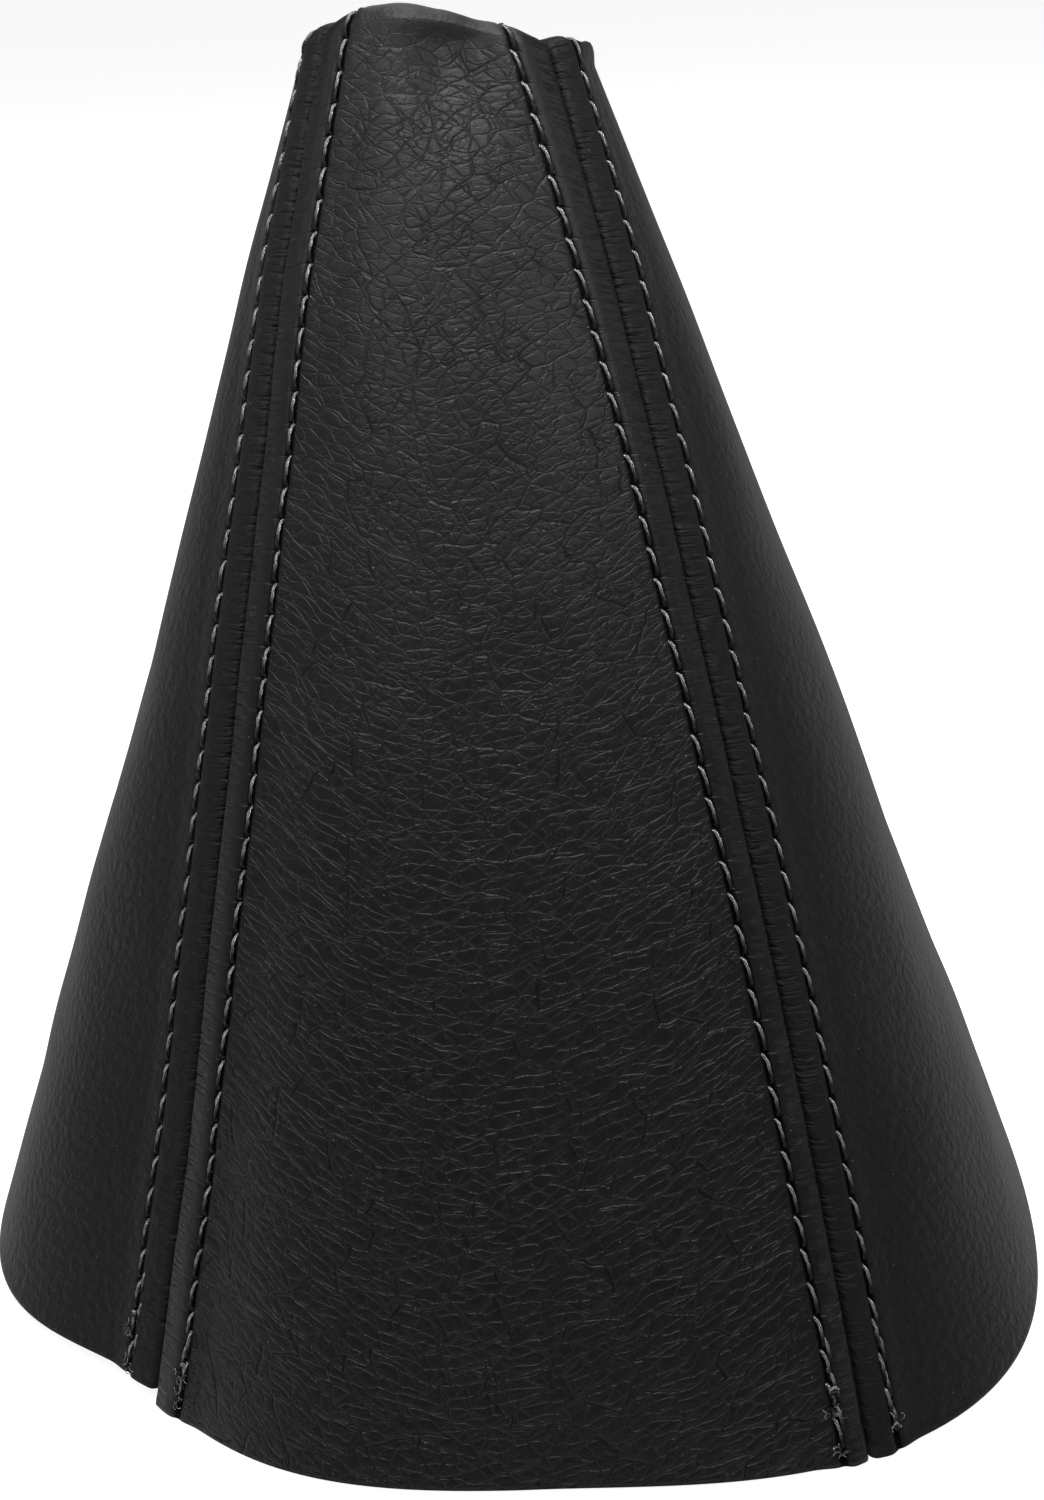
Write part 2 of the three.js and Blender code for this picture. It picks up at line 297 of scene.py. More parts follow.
def point_over(angle, rise, roll, drop, stand_off):
    """A point off the wall, or off the roll at the neck and the hem that hangs inside it."""
    _, up, out = wall_frame(angle, rise)
    base = wall_point(angle, rise)
    stand_off = np.broadcast_to(stand_off + relief(base), base.shape[:-1])[..., None]
    level_out = unit(out * np.stack(np.broadcast_arrays(1.0, 1.0, rise), -1))
    on_wall = base + level_out * stand_off / (level_out * out).sum(-1, keepdims=True)
    roll, drop = np.broadcast_to(roll, base.shape[:-1]), np.broadcast_to(drop, base.shape[:-1])
    near_corner = np.exp(-(wrapped(angle - CORNER_ANGLE) / CORNER_REACH) ** 2)
    tight = 2 + CORNER_TIGHTNESS * near_corner
    corner = (np.abs(np.cos(roll)) ** tight + np.sin(roll) ** tight) ** (-1 / tight)
    corner = corner * (1 + CORNER_FLARE * near_corner * np.clip(np.sin(2 * roll), 0, 1) ** 2)
    spoke = (out * np.cos(roll)[..., None] + up * np.sin(roll)[..., None]) * corner[..., None]
    over_rim = base - out * HEM_RADIUS + spoke * (HEM_RADIUS + stand_off) - up * drop[..., None]
    return np.where((roll == 0)[..., None], on_wall, over_rim)


class Outline:
    """Lengths round the sleeve at given rises, one row for each."""

    def __init__(self, rises):
        points = sleeve_point(OUTLINE_ANGLES[None], (np.asarray(rises) * neck_level(0))[:, None])
        steps = np.linalg.norm(np.diff(points, axis=1), axis=-1)
        self.lengths = np.concatenate([np.zeros((len(steps), 1)), np.cumsum(steps, 1)], 1)

    def length_at(self, angles):
        return np.stack([np.interp(a, OUTLINE_ANGLES, row) for a, row in zip(angles, self.lengths)])

    def angle_at(self, lengths):
        return np.stack([
            np.interp(x, row, OUTLINE_ANGLES) for x, row in zip(lengths, self.lengths)
        ])


# Stitch places
def wall_length(seam, side):
    """Length up the wall along a seam's row, or along the seam itself where side is 0."""
    outline = Outline([0, 1])
    lengths = outline.length_at(np.array([[seam.angle(0)], [seam.angle(1)]]))
    lengths += side * np.array([[seam.row(side, 0)], [seam.row(side, 1)]]) if side else 0
    angles = outline.angle_at(lengths)[:, 0]
    return np.linalg.norm(wall_point(angles[1], 1.0) - wall_point(angles[0], 0.0))


def along(length, wall):
    """The rise, roll and drop at lengths from the base edge."""
    past = np.maximum(length - wall, 0)
    roll_length = math.pi * HEM_RADIUS
    roll = np.minimum(past / HEM_RADIUS, math.pi)
    return np.minimum(length / wall, 1), roll, np.maximum(past - roll_length, 0)


def full_length(wall):
    """The wall's length with the roll and the turned-in hem."""
    return wall + math.pi * HEM_RADIUS + HEM_LENGTH


def hole_lengths(seam, side):
    """Lengths of the needle holes up a row."""
    wall = wall_length(seam, side)
    end = full_length(wall) - ROW_START
    return np.linspace(ROW_START, end, round((end - ROW_START) / STITCH_LENGTH) + 1)


# Panels
def ring_places():
    """The rise, roll and drop of each ring of a panel."""
    wall = np.linspace(0, 1, WALL_RINGS + 1)
    roll = np.linspace(0, math.pi, ROLL_RINGS + 1)[1:]
    drop = np.linspace(0, HEM_LENGTH, DROP_RINGS + 1)[1:]
    rises = np.concatenate([wall, np.ones(len(roll) + len(drop))])
    rolls = np.concatenate([np.zeros(len(wall)), roll, np.full(len(drop), math.pi)])
    drops = np.concatenate([np.zeros(len(wall) + len(roll)), drop])
    return rises, rolls, drops


def ridge(distance, row):
    """The raised strip over the folded allowance, as a stand-off."""
    across_strip = np.clip((distance - FOLD_CENTRE) / (row - FOLD_CENTRE), 0, 1)
    crown = RIDGE_CROWN * np.sin(np.pi * across_strip)
    over = RIDGE * (1 - smooth_step(row - ROW_SHOULDER, field_start(row), distance))
    return over + crown - ROW_PRESS * np.exp(-((distance - row) / ROW_PRESS_REACH) ** 2)


def edge_columns():
    """The panel's edge from the field to the fold and back: kind of column, and its parameter."""
    columns = [("outer", t) for t in np.linspace(0, 1, 30)]
    columns += [("fold", t) for t in np.linspace(0, 1, 13)[1:]]
    columns += [("under", t) for t in np.linspace(0, 1, 10)[1:]]
    columns += [("over", t) for t in np.linspace(1, 0, 8)]
    columns += [("crease", 0.5)]
    columns += [("inner", t) for t in np.linspace(0, 1, 12)]
    return columns


def field_start(row):
    return row + ALLOWANCE_PAST_ROW + RIDGE_FADE


def edge_place(kind, t, row):
    """Distance from the seam, stand-off, and length along the skin from the field's start."""
    start, allowance = field_start(row), row + ALLOWANCE_PAST_ROW
    strip = start - FOLD_CENTRE
    if kind == "outer":
        distance = lerp(start, FOLD_CENTRE, t)
        return distance, ridge(distance, row), strip * t
    if kind == "fold":
        bend = math.pi * (0.5 + t)
        distance = FOLD_CENTRE + FOLD_RADIUS * math.cos(bend) + 0 * row
        lift = RIDGE - FOLD_RADIUS + FOLD_RADIUS * math.sin(bend) + 0 * row
        return distance, lift, strip + FOLD_RADIUS * math.pi * t
    past_fold = strip + FOLD_RADIUS * math.pi
    if kind == "crease":
        return FOLD_CENTRE - LAYER_GAP / 2 + 0 * row, RIDGE - FOLD_RADIUS + 0 * row, past_fold
    if kind == "inner":
        distance = lerp(FOLD_CENTRE, start, t)
        return distance, ridge(distance, row) - LEATHER, strip * (1 - t)
    distance = lerp(FOLD_CENTRE, allowance, t)
    depth = LEATHER + LAYER_GAP + (LEATHER if kind == "under" else 0)
    return distance, ridge(distance, row) - depth, past_fold + distance - FOLD_CENTRE


class Panel:
    """One panel as rings of points, with where each point lies on the cut leather."""

    def __init__(self, start, end, step, field_columns, inner_columns):
        self.start, self.end, self.step = start, end, step
        rises, self.rolls, self.drops = ring_places()
        self.rises = rises[:, None]
        columns = []
        edge = edge_columns()
        columns += [("start", kind, t) for kind, t in edge]
        columns += [("back", "field", t) for t in np.linspace(0, 1, inner_columns + 2)[1:-1]]
        columns += [("end", kind, t) for kind, t in reversed(edge)]
        columns += [("face", "field", t) for t in np.linspace(1, 0, field_columns + 2)[1:-1]]
        self.columns = columns
        self.place()

    def place(self):
        """The angle, rise and stand-off of each point, and its place on the cut leather."""
        rise = self.rises
        rows = {"start": self.start.row(1, rise), "end": self.end.row(-1, rise)}
        low, high = field_start(rows["start"]), -field_start(rows["end"])
        anchors, distances, lifts, skin = [], [], [], []
        for part, kind, t in self.columns:
            if kind == "field":
                anchors.append(t)
                distances.append(lerp(low, high, t))
                lifts.append(np.full_like(rise, 0.0 if part == "face" else -LEATHER))
                skin.append(np.zeros_like(rise))
                continue
            distance, lift, length = edge_place(kind, t, rows[part])
            sign = 1 if part == "start" else -1
            anchors.append(0 if part == "start" else 1)
            distances.append(sign * distance)
            lifts.append(lift)
            skin.append(-sign * (length - np.abs(field_start(rows[part]) - distance)))
        anchors = np.array(anchors)[None]
        self.distances, self.lifts, skin = (np.concatenate(x, 1) for x in (distances, lifts, skin))
        rise = lerp(self.step * anchors / HEIGHT, 1, self.rises)
        outline = Outline(self.rises[:, 0])
        start = outline.length_at(self.start.angle(rise))
        end = outline.length_at(self.end.angle(rise))
        lengths = lerp(start, end, anchors) + self.distances
        self.angles, self.rise = outline.angle_at(lengths), rise
        level_start = outline.length_at(self.start.angle(self.rises))
        level_end = outline.length_at(self.end.angle(self.rises))
        self.across = lengths - (level_start + level_end) / 2 + skin
        self.wall = wall_length(self.start, 0)
        past = self.rolls * HEM_RADIUS + self.drops
        self.upward = rise * self.wall + past[:, None]

    def seam_distance(self, part):
        """Distance of each column from that seam, large for the other edge's columns."""
        mine = np.array([p == part for p, _, _ in self.columns])
        return np.where(mine[None], np.abs(self.distances), 99.0)

    def face_and(self, *kinds):
        """Which columns are on the panel's face or of the given kinds."""
        return np.array([part == "face" or kind in kinds for part, kind, _ in self.columns])

    def skin_columns(self):
        return self.face_and("outer", "fold", "under")

    def outer_columns(self):
        return self.face_and("outer", "fold")


def hole_dents(panel, part, seam, side):
    """The leather drawn down at each needle hole, and left a little full between them."""
    distance = panel.seam_distance(part)
    holes = hole_lengths(seam, side) * panel.wall / wall_length(seam, side)
    nearest = np.abs(panel.upward[..., None] - holes).min(-1)
    off_row = (distance - seam.row(side, panel.rises)) / HOLE_REACH_ACROSS
    return -HOLE_DEPTH * np.exp(-off_row ** 2 - (nearest / HOLE_REACH_ALONG) ** 2)


def lip_puckers(panel, part, amount, seed):
    """Small transverse gathers on the fold's lip."""
    distance = panel.seam_distance(part)
    near_lip = np.exp(-np.maximum(distance - 0.6, 0) / 1.3) * (distance < 8)
    rng = np.random.default_rng(seed)
    upward = panel.upward[:, :1]
    gather = sum(
        np.sin(2 * math.pi * upward / length + rng.uniform(0, 6.28)) for length in PUCKER_LENGTHS
    )
    slow = np.sin(upward / 9 + rng.uniform(0, 6.28))
    slower = np.sin(upward / 23 + rng.uniform(0, 6.28))
    cluster = 0.5 + 0.5 * slow * slower
    near_base = 1 + PUCKERS_AT_BASE * np.exp(-(upward / 9) ** 2)
    return -amount * near_lip * np.maximum(gather, 0) * cluster * near_base


def panel_points(panel, puckers):
    """The panel's rings of points, with dents and gathers on its outer side."""
    lift = panel.lifts + np.where(
        panel.outer_columns()[None],
        hole_dents(panel, "start", panel.start, 1)
        + hole_dents(panel, "end", panel.end, -1)
        + lip_puckers(panel, "start", puckers[0], 21)
        + lip_puckers(panel, "end", puckers[1], 34),
        0,
    )
    return point_over(panel.angles, panel.rise, panel.rolls[:, None], panel.drops[:, None], lift)


def ring_faces(rings, count):
    """Quads between closed rings, and one face over each end."""
    ring, i = np.meshgrid(np.arange(rings - 1), np.arange(count), indexing="ij")
    a, b = ring * count + i, ring * count + (i + 1) % count
    quads = np.stack([a, a + count, b + count, b], -1).reshape(-1, 4).tolist()
    first = list(range(count))
    last = [(rings - 1) * count + k for k in reversed(range(count))]
    return quads, [first, last]


def new_object(name, points, faces):
    mesh = bpy.data.meshes.new(name)
    mesh.from_pydata((points.reshape(-1, 3) * MM).tolist(), [], faces)
    mesh.polygons.foreach_set("use_smooth", np.ones(len(faces), bool))
    piece = bpy.data.objects.new(name, mesh)
    bpy.context.scene.collection.objects.link(piece)
    return piece


def set_map(mesh, name, places):
    """A UV map in millimetres of leather or thread."""
    vertex = np.zeros(len(mesh.loops), np.int32)
    mesh.loops.foreach_get("vertex_index", vertex)
    layer = mesh.uv_layers.new(name=name)
    layer.uv.foreach_set("vector", places.reshape(-1, 2)[vertex].astype(np.float32).ravel())


def set_share(mesh, name, values):
    """A number for each point, read by the materials."""
    attribute = mesh.attributes.new(name, "FLOAT", "POINT")
    attribute.data.foreach_set("value", values.astype(np.float32).ravel())


def flat_cut(panel):
    """The panel's flat width, length and area, in metres."""
    across = panel.across[:, panel.skin_columns()]
    widths = across.max(1) - across.min(1)
    steps = np.diff(panel.upward.mean(1))
    area = (steps * (widths[1:] + widths[:-1]) / 2).sum()
    return widths.max() * MM, panel.upward.max() * MM, area * MM * MM


def seam_nearness(panel):
    """1 on the strips beside the seams, fading into the field."""
    distance = np.minimum(panel.seam_distance("start"), panel.seam_distance("end"))
    return 1 - smooth_step(4.2, 6.5, distance)


def lip_nearness(panel):
    """1 on the folded lips of the seams, fading over the strips beside them."""
    distance = np.minimum(panel.seam_distance("start"), panel.seam_distance("end"))
    return 1 - smooth_step(1.2, 3.4, distance)


def row_nearness(panel):
    """1 on the stitch rows, fading over the leather beside them."""
    rows = {"start": panel.start.row(1, panel.rises), "end": panel.end.row(-1, panel.rises)}
    return sum(np.exp(-((panel.seam_distance(part) - rows[part]) / 1.7) ** 2) for part in rows)


def stitch_count(panel):
    """How many stitches up the nearer row each point lies, whole numbers at the holes."""
    counts = []
    for seam, side in ((panel.start, 1), (panel.end, -1)):
        holes = hole_lengths(seam, side) * panel.wall / wall_length(seam, side)
        counts.append((panel.upward - holes[0]) / (holes[1] - holes[0]))
    nearer = panel.seam_distance("start") < panel.seam_distance("end")
    return np.where(nearer, counts[0], counts[1])


def rim_nearness(panel):
    """1 on the turned-in neck, fading just below it."""
    return smooth_step(panel.wall - 4, panel.wall, panel.upward)


def build_panel(name, panel, puckers, skin_material, backing):
    """One panel with its skin, its backing, and the places that its material reads."""
    points = panel_points(panel, puckers)
    rings, count = points.shape[:2]
    quads, caps = ring_faces(rings, count)
    piece = new_object(name + "_leather", points, quads + caps)
    mesh = piece.data
    mesh.materials.append(skin_material)
    mesh.materials.append(backing)
    skin = panel.skin_columns()
    side = np.where(skin & np.roll(skin, -1), 0, 1)
    sides = np.concatenate([np.tile(side, rings - 1), [1, 1]]).astype(np.int32)
    mesh.polygons.foreach_set("material_index", sides)
    smooth = np.ones(len(mesh.polygons), bool)
    smooth[-2:] = False
    mesh.polygons.foreach_set("use_smooth", smooth)
    set_map(mesh, "Cut", np.stack([panel.across, panel.upward], -1))
    set_share(mesh, "beside_seam", seam_nearness(panel))
    set_share(mesh, "on_lip", lip_nearness(panel))
    set_share(mesh, "at_rim", rim_nearness(panel))
    set_share(mesh, "near_row", row_nearness(panel))
    set_share(mesh, "stitches", stitch_count(panel))
    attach(piece, "root")
    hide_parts(name)
    return piece


# Threads
def tubes(centres, ups, radius, plies, pitch, offset):
    """Closed tubes along lines of points, lobed by the twisted plies, and their thread maps."""
    tangent = unit(np.gradient(centres, axis=1))
    beside = unit(np.cross(tangent, ups))
    normal = np.cross(beside, tangent)
    steps = np.linalg.norm(np.diff(centres, axis=1), axis=-1)
    run = np.concatenate([np.zeros((len(centres), 1)), np.cumsum(steps, 1)], 1) + offset
    theta = np.linspace(0, 2 * math.pi, TUBE_SIDES, endpoint=False)[None, None]
    lobe = 1 + PLY_DEPTH * np.cos(plies * (theta + 2 * math.pi * run[..., None] / (plies * pitch)))
    size = radius * lobe
    points = (centres[:, :, None]
              + beside[:, :, None] * (size * np.cos(theta))[..., None]
              + normal[:, :, None] * (size * np.sin(theta))[..., None])
    along_tube = np.broadcast_to(run[..., None], size.shape)
    round_tube = np.broadcast_to(theta * radius, size.shape)
    return points, np.stack([round_tube, along_tube], -1)


def tube_faces(lines, stations, first=0):
    """Faces of closed tubes whose points start at the given number."""
    faces = []
    quads, caps = ring_faces(stations, TUBE_SIDES)
    base = np.array(quads)
    for line in range(lines):
        shift = first + line * stations * TUBE_SIDES
        faces += (base + shift).tolist()
        faces += [[k + shift for k in cap] for cap in caps]
    return faces


def row_angles(seam, side, rise, sideways):
    """Angles at places along a row, moved sideways by lengths. rise is one number for each row."""
    outline = Outline(rise.ravel())
    middle = outline.length_at(seam.angle(rise.ravel())[:, None])[:, 0]
    row = side * seam.row(side, rise.ravel()) if side else 0
    lengths = middle + row + sideways.ravel()
    return outline.angle_at(lengths[:, None])[:, 0].reshape(rise.shape)


def over_seam(seam, side, length, sideways, lift):
    """Points over a seam's row, and the directions off the leather there."""
    rise, roll, drop = along(length, wall_length(seam, side))
    angle = row_angles(seam, side, rise, sideways)
    points = point_over(angle, rise, roll, drop, lift)
    return points, unit(point_over(angle, rise, roll, drop, lift + 0.5) - points)


def stitch_lines(starts, ends, slant, height, rng):
    """Lengthwise, sideways and lift courses of stitches between holes."""
    t = np.linspace(0, 1, STITCH_STATIONS)[None]
    starts, ends = starts[:, None], ends[:, None]
    length = lerp(starts, ends, t)
    bow = rng.normal(0, 0.05, starts.shape)
    hook = slant * (0.35 - STITCH_HOOK * np.exp(-5 * (1 - t)))
    sideways = hook + bow * np.sin(math.pi * t) + rng.normal(0, 0.03, starts.shape)
    dive = STITCH_DIVE * np.abs(2 * t - 1) ** 7
    lift = height - dive + rng.normal(0, 0.015, starts.shape) * np.sin(math.pi * t)
    return length, sideways, lift


def backtack_lines(holes, backtack, slant, height, rng):
    """The doubled stitches that lock a row's end at the base."""
    shift, count = backtack
    starts = holes[:count] + 0.5 * STITCH_LENGTH
    length, sideways, lift = stitch_lines(starts, starts + 0.92 * STITCH_LENGTH, slant, height, rng)
    return length, sideways + shift, lift + 0.06


def knot_lines(knots, height):
    """Small tangles of thread, each a few tight loops."""
    t = np.linspace(0, 1, STITCH_STATIONS)[None]
    at, aside, size = (np.array(knots)[:, k, None] for k in range(3))
    turn = 2 * math.pi * 2.5 * t
    length = at + size * (1.2 * (t - 0.5) + 0.55 * np.cos(turn))
    lift = height + size * (0.25 + 0.3 * np.sin(turn + 1.2))
    return length, aside + 0.5 * size * np.sin(turn), lift


def loose_ends(tufts, level, rng):
    """Frayed filaments, as short curling lines in tufts at given places."""
    t = np.linspace(0, 1, STITCH_STATIONS)[None]
    count = FILAMENTS_IN_TUFT * len(tufts)
    at, aside = (np.repeat(np.array(tufts)[:, k], FILAMENTS_IN_TUFT)[:, None] for k in range(2))
    reach = rng.uniform(0.6, 1.7, (count, 1))
    curl = rng.uniform(1.2, 3.2, (count, 1))
    turn = rng.uniform(0, 2 * math.pi, (count, 1))
    length = at + reach * t * np.cos(turn) + 0.25 * np.sin(curl * 4 * t)
    sideways = aside + reach * t * np.sin(turn) + 0.25 * np.cos(curl * 4 * t)
    lift = level + 0.05 + 0.7 * np.sin(math.pi * t * 0.9) * rng.uniform(0.4, 1, (count, 1))
    return length, sideways, lift


def build_row(row, seam, side, thread, seed):
    """One row of topstitching, with its backtack, knots and frayed ends at the base."""
    backtack, knots, tufts = ENDINGS[row]
    rng = np.random.default_rng(seed)
    holes = hole_lengths(seam, side)
    starts, ends = holes[:-1] + HOLE_CLEARANCE, holes[1:] - HOLE_CLEARANCE
    level = RIDGE - ROW_PRESS
    height = level + THREAD_RADIUS * 0.9
    courses = [stitch_lines(starts, ends, seam.slant, height, rng)]
    courses.append(backtack_lines(holes, backtack, seam.slant, height, rng))
    courses.append(knot_lines(knots, height))
    shapes = [(*[np.concatenate(x) for x in zip(*courses)], THREAD_RADIUS, PLIES)]
    shapes.append((*loose_ends(tufts, level, rng), FILAMENT_RADIUS, 1))
    points, maps, shares, faces, used = [], [], [], [], 0
    for length, sideways, lift, radius, plies in shapes:
        centres, ups = over_seam(seam, side, length, sideways, lift)
        offset = rng.uniform(0, 3, (len(centres), 1))
        tube, places = tubes(centres, ups, radius, plies, PLY_PITCH, offset)
        faces += tube_faces(len(centres), STITCH_STATIONS, used)
        used += tube.size // 3
        points.append(tube.reshape(-1, 3))
        maps.append(places.reshape(-1, 2))
        upper = np.linspace(0, 1, STITCH_STATIONS)[None, :, None]
        shares.append(np.broadcast_to(upper, tube.shape[:3]).ravel())
    points, places = np.concatenate(points), np.concatenate(maps)
    piece = finish_thread("topstitch_" + row, points, places, faces, thread)
    # Each point's place along its stitch, from which the thread's material paints a highlight at
    # the upper end and shade at the lower end.
    set_share(piece.data, "upper_end", np.concatenate(shares))


def build_joining(name, seam, thread):
    """The joining stitches inside the seam, one long lobed line in the valley of the folds."""
    wall = wall_length(seam, 0)
    end = full_length(wall) - ROW_START
    length = np.linspace(JOINING_START, end, JOINING_STATIONS)[None]
    reach = FOLD_RADIUS + LAYER_GAP + JOINING_RADIUS
    level = RIDGE - FOLD_RADIUS - math.sqrt(reach ** 2 - FOLD_CENTRE ** 2) - JOINING_RADIUS
    dip = JOINING_WAVE * np.cos(2 * math.pi * (length - ROW_START) / STITCH_LENGTH)
    lift = level + JOINING_RADIUS - JOINING_WAVE + dip
    centres, ups = over_seam(seam, 0, length, 0 * length, lift)
    tube, places = tubes(centres, ups, JOINING_RADIUS, PLIES, PLY_PITCH, np.zeros((1, 1)))
    faces = tube_faces(1, length.size)
    finish_thread(name, tube.reshape(-1, 3), places.reshape(-1, 2), faces, thread)


def finish_thread(name, points, places, faces, thread):
    """A thread's piece, with its material and its place in the frame."""
    piece = new_object(name + "_thread", points, faces)
    piece.data.materials.append(thread)
    set_map(piece.data, "Thread", places)
    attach(piece, "root")
    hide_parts(name)
    return piece


# Material helpers
class Nodes:
    """A material's node tree, built up by short calls."""

    def __init__(self, name):
        self.material = bpy.data.materials.new(name)
        self.material.use_nodes = True
        self.tree = self.material.node_tree
        self.shader = next(n for n in self.tree.nodes if n.type == "BSDF_PRINCIPLED")

    def link(self, source, target):
        self.tree.links.new(source, target)

    def put(self, socket, value):
        if isinstance(value, bpy.types.NodeSocket):
            self.link(value, socket)
        else:
            socket.default_value = value

    def set(self, name, value):
        """Link or write one input of the shader."""
        self.put(self.shader.inputs[name], value)

    def add(self, kind, **settings):
        node = self.tree.nodes.new(kind)
        for key, value in settings.items():
            setattr(node, key, value)
        return node

    def math(self, operation, a, b=0.0, c=0.0):
        node = self.add("ShaderNodeMath", operation=operation)
        for socket, value in zip(node.inputs, (a, b, c)):
            self.put(socket, value)
        return node.outputs[0]

    def map(self, name):
        return self.add("ShaderNodeUVMap", uv_map=name).outputs["UV"]

    def share(self, name):
        return self.add("ShaderNodeAttribute", attribute_name=name).outputs["Fac"]

    def parts(self, vector):
        node = self.add("ShaderNodeSeparateXYZ")
        self.link(vector, node.inputs[0])
        return node.outputs[0], node.outputs[1]

    def join(self, x, y):
        node = self.add("ShaderNodeCombineXYZ")
        for socket, value in zip(node.inputs, (x, y)):
            self.put(socket, value)
        return node.outputs[0]

    def noise(self, vector, scale, detail=2.0, colour=False):
        node = self.add("ShaderNodeTexNoise")
        self.link(vector, node.inputs["Vector"])
        node.inputs["Scale"].default_value = scale
        node.inputs["Detail"].default_value = detail
        return node.outputs["Color" if colour else "Fac"]

    def cells(self, vector, scale, feature="DISTANCE_TO_EDGE", uneven=1.0):
        node = self.add("ShaderNodeTexVoronoi", feature=feature, voronoi_dimensions="2D")
        self.link(vector, node.inputs["Vector"])
        node.inputs["Scale"].default_value = scale
        node.inputs["Randomness"].default_value = uneven
        return node.outputs["Distance"]

    def fit(self, value, low, high, out_low=0.0, out_high=1.0):
        node = self.add("ShaderNodeMapRange", interpolation_type="SMOOTHSTEP")
        self.put(node.inputs["Value"], value)
        limits = {"From Min": low, "From Max": high, "To Min": out_low, "To Max": out_high}
        for key, number in limits.items():
            self.put(node.inputs[key], number)
        return node.outputs["Result"]

    def blend(self, factor, a, b):
        node = self.add("ShaderNodeMix", data_type="RGBA")
        self.put(node.inputs[0], factor)
        self.put(node.inputs[6], a)
        self.put(node.inputs[7], b)
        return node.outputs[2]

    def bump(self, height, distance):
        node = self.add("ShaderNodeBump")
        node.inputs["Strength"].default_value = 1.0
        node.inputs["Distance"].default_value = distance
        self.link(height, node.inputs["Height"])
        self.link(node.outputs["Normal"], self.shader.inputs["Normal"])


def grey(value, warm=0.0):
    return (value * (1 + warm), value, value * (1 - warm), 1)


def warped(nodes, places, amount):
    """The cut's places, pushed about so that no crease runs straight."""
    push = nodes.noise(places, 0.16, 3, colour=True)
    node = nodes.add("ShaderNodeVectorMath", operation="MULTIPLY_ADD")
    nodes.link(push, node.inputs[0])
    node.inputs[1].default_value = (amount, amount, 0)
    nodes.link(places, node.inputs[2])
    return node.outputs[0]


def creases(nodes, places, turn, spacing, stretch, shift, valley_width=0.16):
    """Folds of the leather along one direction: fine valleys between gently domed cells."""
    node = nodes.add("ShaderNodeVectorRotate", rotation_type="Z_AXIS")
    nodes.link(places, node.inputs["Vector"])
    node.inputs["Angle"].default_value = -math.radians(turn)
    run, rise = nodes.parts(node.outputs[0])
    run = nodes.math("MULTIPLY_ADD", run, 1 / (spacing * stretch), shift)
    edge = nodes.cells(nodes.join(run, nodes.math("MULTIPLY", rise, 1 / spacing)), 1.0, uneven=0.85)
    valley = nodes.fit(edge, 0.0, valley_width / spacing, 0.75, 0.0)
    return nodes.math("ADD", valley, nodes.fit(edge, 0.0, 0.75 / spacing, 0.27, 0.0))


def smiling(nodes, places):
    """The cut's places, bent so that level creases rise towards both sides of the panel."""
    across, upward = nodes.parts(places)
    reach = nodes.math("SQRT", nodes.math("MULTIPLY_ADD", across, across, 140))
    return nodes.join(across, nodes.math("MULTIPLY_ADD", reach, -0.5, upward))


def crease_depth(nodes, places):
    """Depth of the crossing crease families, in parts of the bump."""
    across, _ = nodes.parts(places)
    bent = warped(nodes, places, 3.0)
    cells = creases(nodes, smiling(nodes, bent), 0, 1.45, 2.1, 23.0, valley_width=0.12)
    cells = nodes.math("MULTIPLY", cells, 0.75)
    rising = nodes.math("MULTIPLY", creases(nodes, bent, 37, 3.0, 3.2, 3.0),
                        nodes.fit(across, -34, 12, 0.25, 1.0))
    falling = nodes.math("MULTIPLY", creases(nodes, bent, -42, 3.4, 3.0, 11.0),
                         nodes.fit(across, 34, -16, 0.25, 0.95))
    depth = nodes.math("MAXIMUM", nodes.math("MAXIMUM", rising, falling), cells)
    small = nodes.math("MULTIPLY", creases(nodes, bent, 15, 0.95, 1.25, 37.0),
                       nodes.fit(nodes.noise(places, 0.2, 2), 0.4, 0.65, 0.05, 0.3))
    depth = nodes.math("ADD", depth, small)
    patches = nodes.fit(nodes.noise(places, 0.11, 3), 0.3, 0.6, 0.6, 1.0)
    return nodes.math("MULTIPLY", depth, patches)


